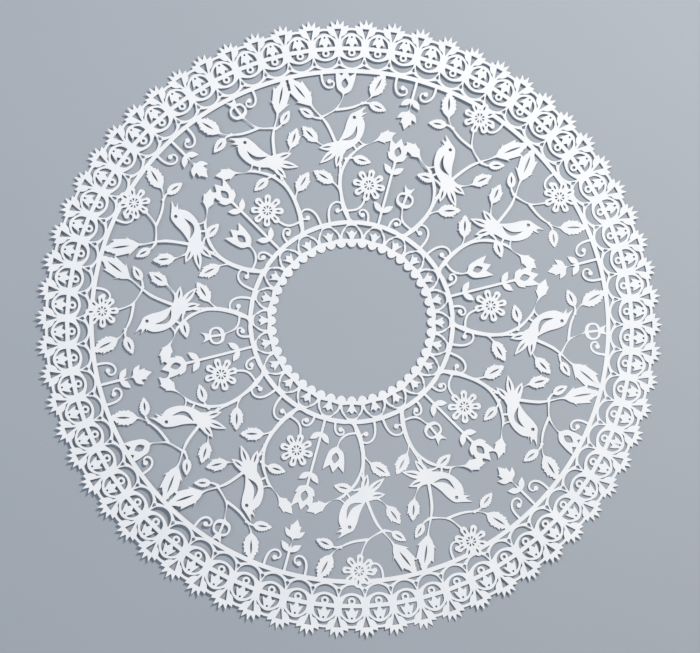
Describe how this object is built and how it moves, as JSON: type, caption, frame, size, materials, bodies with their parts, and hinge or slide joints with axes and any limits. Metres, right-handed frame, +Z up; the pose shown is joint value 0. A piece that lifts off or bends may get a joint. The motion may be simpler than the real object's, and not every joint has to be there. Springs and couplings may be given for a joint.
{
  "type": "paper cutting",
  "caption": "Round lace paper cutting of one white sheet: fan rim, medallion border, bird branches and an arcade around an open middle.",
  "frame": {"origin": "middle of the sheet, on the table it lies on", "axes": "+Z up through the open middle, +Y through the axis of the first branch, +X to the right seen from above"},
  "size_m": [0.3, 0.2996, 0.0002],
  "materials": {
    "paper": "uncoated matt white paper with cut edges"
  },
  "bodies": {
    "root": {"cut_sheet": "paper"}
  },
  "joints": []
}
